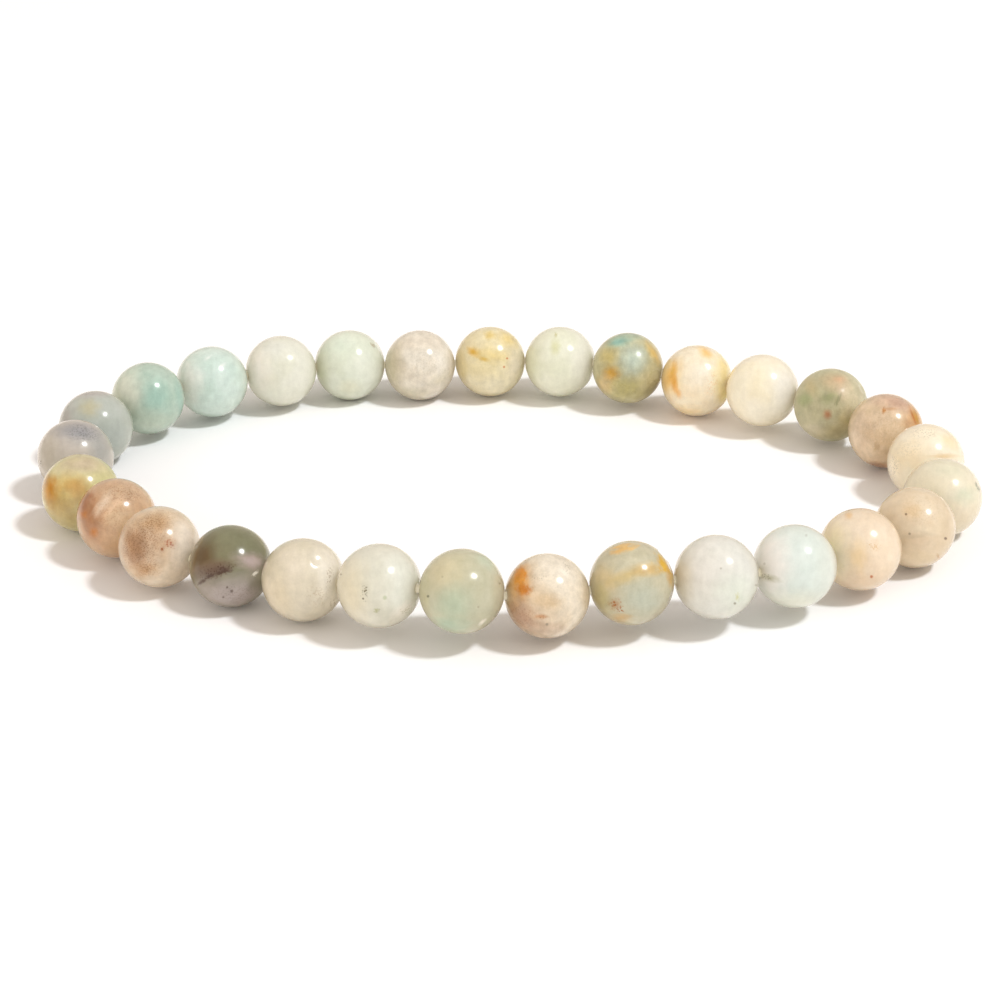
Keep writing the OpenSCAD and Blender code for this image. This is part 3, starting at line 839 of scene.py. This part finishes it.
def dots(recipe, place, size, share):
    """Round dots in that share of the cells of a Voronoi pattern."""
    sockets = {"Vector": place, "Scale": 1 / size, "Randomness": 1}
    near = recipe.add("ShaderNodeTexVoronoi", {}, sockets, output="Distance")
    chance = recipe.add("ShaderNodeSeparateXYZ", {}, {0: near.sibling("Color")}, output="X")
    chosen = recipe.rise(chance, share + CHANCE_SOFT, share - CHANCE_SOFT)
    return recipe.rise(near, DOT_RIM, DOT_MIDDLE) * chosen


def mark_mask(recipe, place, stone, mark):
    """1 in the middle of a mark and 0 outside it. Stone is the place without the fold."""
    near = math.sqrt(max(0, 1 - mark.right**2 - mark.up**2))
    inside = recipe.add("ShaderNodeMapping", {"vector_type": "TEXTURE"}, {
        "Vector": place,
        "Location": (mark.right, mark.up, near),
        "Rotation": (0, 0, math.radians(mark.turn)),
        "Scale": (mark.wide, mark.tall, MARK_DEEP),
    })
    moved = inside + (RAGGED_STEP * mark.right, RAGGED_STEP * mark.up, 0)
    bent = recipe.noise(moved, RAGGED_SIZE, 4, "Color") - (0.5, 0.5, 0.5)
    away = recipe.length(inside + bent * mark.ragged)
    mask = recipe.rise(away, 1 + mark.soft, 1 - mark.soft) * mark.amount
    return mask * dots(recipe, stone, mark.grain, mark.share) if mark.grain else mask


print("bead 1 is seen from", [round(share, 2) for share in seen_frame(0).col[2]])

# %% Stone material
# Step from one bead's piece of the noise to the next, in radii
STONE_STEP = 3.7
CLOUD_SIZE, MOTTLE_SIZE, GRAIN_SIZE = 0.8, 0.22, 0.045
CLOUD_EDGE = (0.38, 0.62)
MOTTLE_SHADE, GRAIN_SHADE, FIBRE_SHADE = 0.25, 0.10, 0.15
# Fibres are noise squeezed across the way they run
FIBRE_SQUEEZE = (7, 1.6, 4)
FIBRE_TURN = (0.4, 0.7, 1.1)
POLISH, MATT, CLOUD_ROUGH = 0.18, 0.5, 0.05
GLOSS, GLOSS_ROUGH = 1.0, 0.16
GLAZE_IOR, GLAZE = 1.2, (0.96, 0.93, 0.88)
STONE_IOR, SHEEN = 1.53, 0.45
LIGHT_REACH = (1.0, 0.99, 0.97)
REACH_SCALE = 6.5 * MM
PEEL_SIZE, PEEL_DEEP = 0.25, 0.015


def stone_material(i, look):
    """The material of bead i, after the jeweller's notes."""
    recipe = Recipe(f"stone_{i + 1:02d}")
    rest = recipe.add("ShaderNodeTexCoord", {}, {}, output="Object")
    own = recipe.add("ShaderNodeMapping", {"vector_type": "TEXTURE"}, {
        "Vector": rest,
        "Location": centres[i],
        "Rotation": seen_frame(i).to_euler(),
        "Scale": [radii[i]] * 3,
    })
    stone = own + (STONE_STEP * i, 0, 0)
    x = recipe.add("ShaderNodeSeparateXYZ", {}, {0: own}, output="X")
    depth = recipe.add("ShaderNodeMath", {"operation": "ABSOLUTE"}, {0: x.sibling("Z")})
    folded = recipe.add("ShaderNodeCombineXYZ", {}, {"X": x, "Y": x.sibling("Y"), "Z": depth})

    clouds = recipe.noise(stone, CLOUD_SIZE, 5)
    cloudy = recipe.rise(clouds, *CLOUD_EDGE) * look.cloudy
    colour = recipe.blend(cloudy, look.body, look.cloud)
    for mark in look.marks:
        colour = recipe.blend(mark_mask(recipe, folded, stone, mark), colour, mark.colour)
    mottle = recipe.noise(stone, MOTTLE_SIZE, 4) - 0.5
    grain = recipe.noise(stone, GRAIN_SIZE, 2) - 0.5
    squeezed = recipe.add("ShaderNodeMapping", {}, {
        "Vector": stone,
        "Rotation": [turn * i for turn in FIBRE_TURN],
        "Scale": FIBRE_SQUEEZE,
    })
    fibre = recipe.noise(squeezed, 1, 3) - 0.5
    veins = (mottle * MOTTLE_SHADE + grain * GRAIN_SHADE + fibre * FIBRE_SHADE) * look.veined
    shade = recipe.add("ShaderNodeHueSaturation", {}, {"Color": colour, "Value": veins + 1})

    peel = recipe.noise(stone, PEEL_SIZE, 2) * PEEL_DEEP
    bump = recipe.add("ShaderNodeBump", {}, {"Height": peel, "Distance": 1 * MM, "Strength": 1})
    shader = recipe.add("ShaderNodeBsdfPrincipled", {"subsurface_method": "RANDOM_WALK"}, {
        "Base Color": shade,
        "Roughness": clouds * CLOUD_ROUGH + (POLISH + MATT * look.matt),
        "Normal": bump,
        "IOR": STONE_IOR,
        "Specular IOR Level": SHEEN,
        "Coat Weight": GLOSS * (1 - look.matt),
        "Coat Roughness": GLOSS_ROUGH,
        "Coat IOR": GLAZE_IOR,
        "Coat Tint": (*GLAZE, 1),
        "Subsurface Weight": look.milky,
        "Subsurface Radius": LIGHT_REACH,
        "Subsurface Scale": REACH_SCALE,
    })
    recipe.add("ShaderNodeOutputMaterial", {}, {"Surface": shader})
    return recipe.material


for i, (bead, look) in enumerate(zip(beads, LOOKS)):
    bead.data.materials.append(stone_material(i, look))
print("stones painted")

# %% [markdown]
# Thread material
# Elastic cord is clear plastic, a little cloudy from stretching, with faint lines along it.
# In a real bracelet light crosses the clear cord inside the drilled hole. Here the milky
# shading stops at the wall of the hole, so a faint glow of the cord hands that light on, or
# each bead would have a dark core. Only rays that meet the cord see the glow.

# %% Thread material
CORD_GLOW = (0.30, 0.27, 0.20)
CORD_LINE = 0.1 * MM
CORD_ROUGH, LINE_ROUGH = 0.25, 0.1


def thread_material():
    """The material of the elastic thread."""
    recipe = Recipe("clear_elastic")
    rest = recipe.add("ShaderNodeTexCoord", {}, {}, output="Object")
    lines = recipe.noise(rest, CORD_LINE, 2)
    colour = recipe.blend(lines, paint(200, 192, 168), paint(222, 216, 196))
    shader = recipe.add("ShaderNodeBsdfPrincipled", {}, {
        "Base Color": colour,
        "Roughness": lines * LINE_ROUGH + CORD_ROUGH,
        "Emission Color": (*CORD_GLOW, 1),
        "Emission Strength": 1,
    })
    recipe.add("ShaderNodeOutputMaterial", {}, {"Surface": shader})
    recipe.material.cycles.emission_sampling = "NONE"
    return recipe.material


thread.data.materials.append(thread_material())
print("thread painted")

# %% [markdown]
# Studio
# The beads lie on a white table that is lit until it is pure white, as shops like it. One
# small soft box high on the right throws the short shadows to the left and makes the bright
# spot on each bead. A large, warm reflector low on the left opens up the shadow sides, and
# it is hidden from reflections, so that it adds no second spot. The pale room fills the rest.

# %% Studio
FLOOR_SIDE = 6
TABLE, TABLE_ROUGH = 0.97, 0.9
ROOM = (0.67, 0.61, 0.56, 1)
Lamp = namedtuple("Lamp", "way away side watts colour")
KEY = Lamp(Vector((0.54, -0.14, 0.83)), 1.2, 0.14, 8.5, (0.93, 0.96, 1.0))
REFLECTOR = Lamp(Vector((-0.75, -0.55, 0.35)), 1.2, 0.9, 3.6, (1.0, 0.90, 0.80))


def table_material():
    """Matt white without any shine."""
    recipe = Recipe("white_table")
    shader = recipe.add("ShaderNodeBsdfPrincipled", {}, {
        "Base Color": (TABLE, TABLE, TABLE, 1),
        "Roughness": TABLE_ROUGH,
        "Specular IOR Level": 0,
    })
    recipe.add("ShaderNodeOutputMaterial", {}, {"Surface": shader})
    return recipe.material


floor_mesh = bpy.data.meshes.new("table")
half = FLOOR_SIDE / 2
floor_corners = [(-half, -half, 0), (half, -half, 0), (half, half, 0), (-half, half, 0)]
floor_mesh.from_pydata(floor_corners, [], [(0, 1, 2, 3)])
floor_mesh.materials.append(table_material())
floor = bpy.data.objects.new("table", floor_mesh)
scene.collection.objects.link(floor)


def hang(name, lamp):
    """Hangs a square lamp that faces the middle of the table."""
    light = bpy.data.lights.new(name, "AREA")
    light.shape = "SQUARE"
    light.size = lamp.side
    light.energy = lamp.watts
    light.color = lamp.colour
    hung = bpy.data.objects.new(name, light)
    hung.location = lamp.way.normalized() * lamp.away
    hung.rotation_euler = lamp.way.to_track_quat("Z", "Y").to_euler()
    scene.collection.objects.link(hung)
    return hung


hang("soft_box", KEY)
reflector = hang("reflector", REFLECTOR)
reflector.visible_glossy = False

world = bpy.data.worlds.new("room")
world.use_nodes = True
scene.world = world
world.node_tree.nodes["Background"].inputs["Color"].default_value = ROOM
scene.view_settings.view_transform = "Standard"
print("soft box", KEY.side, "m wide at", KEY.away, "m, reflector", REFLECTOR.side, "m wide")
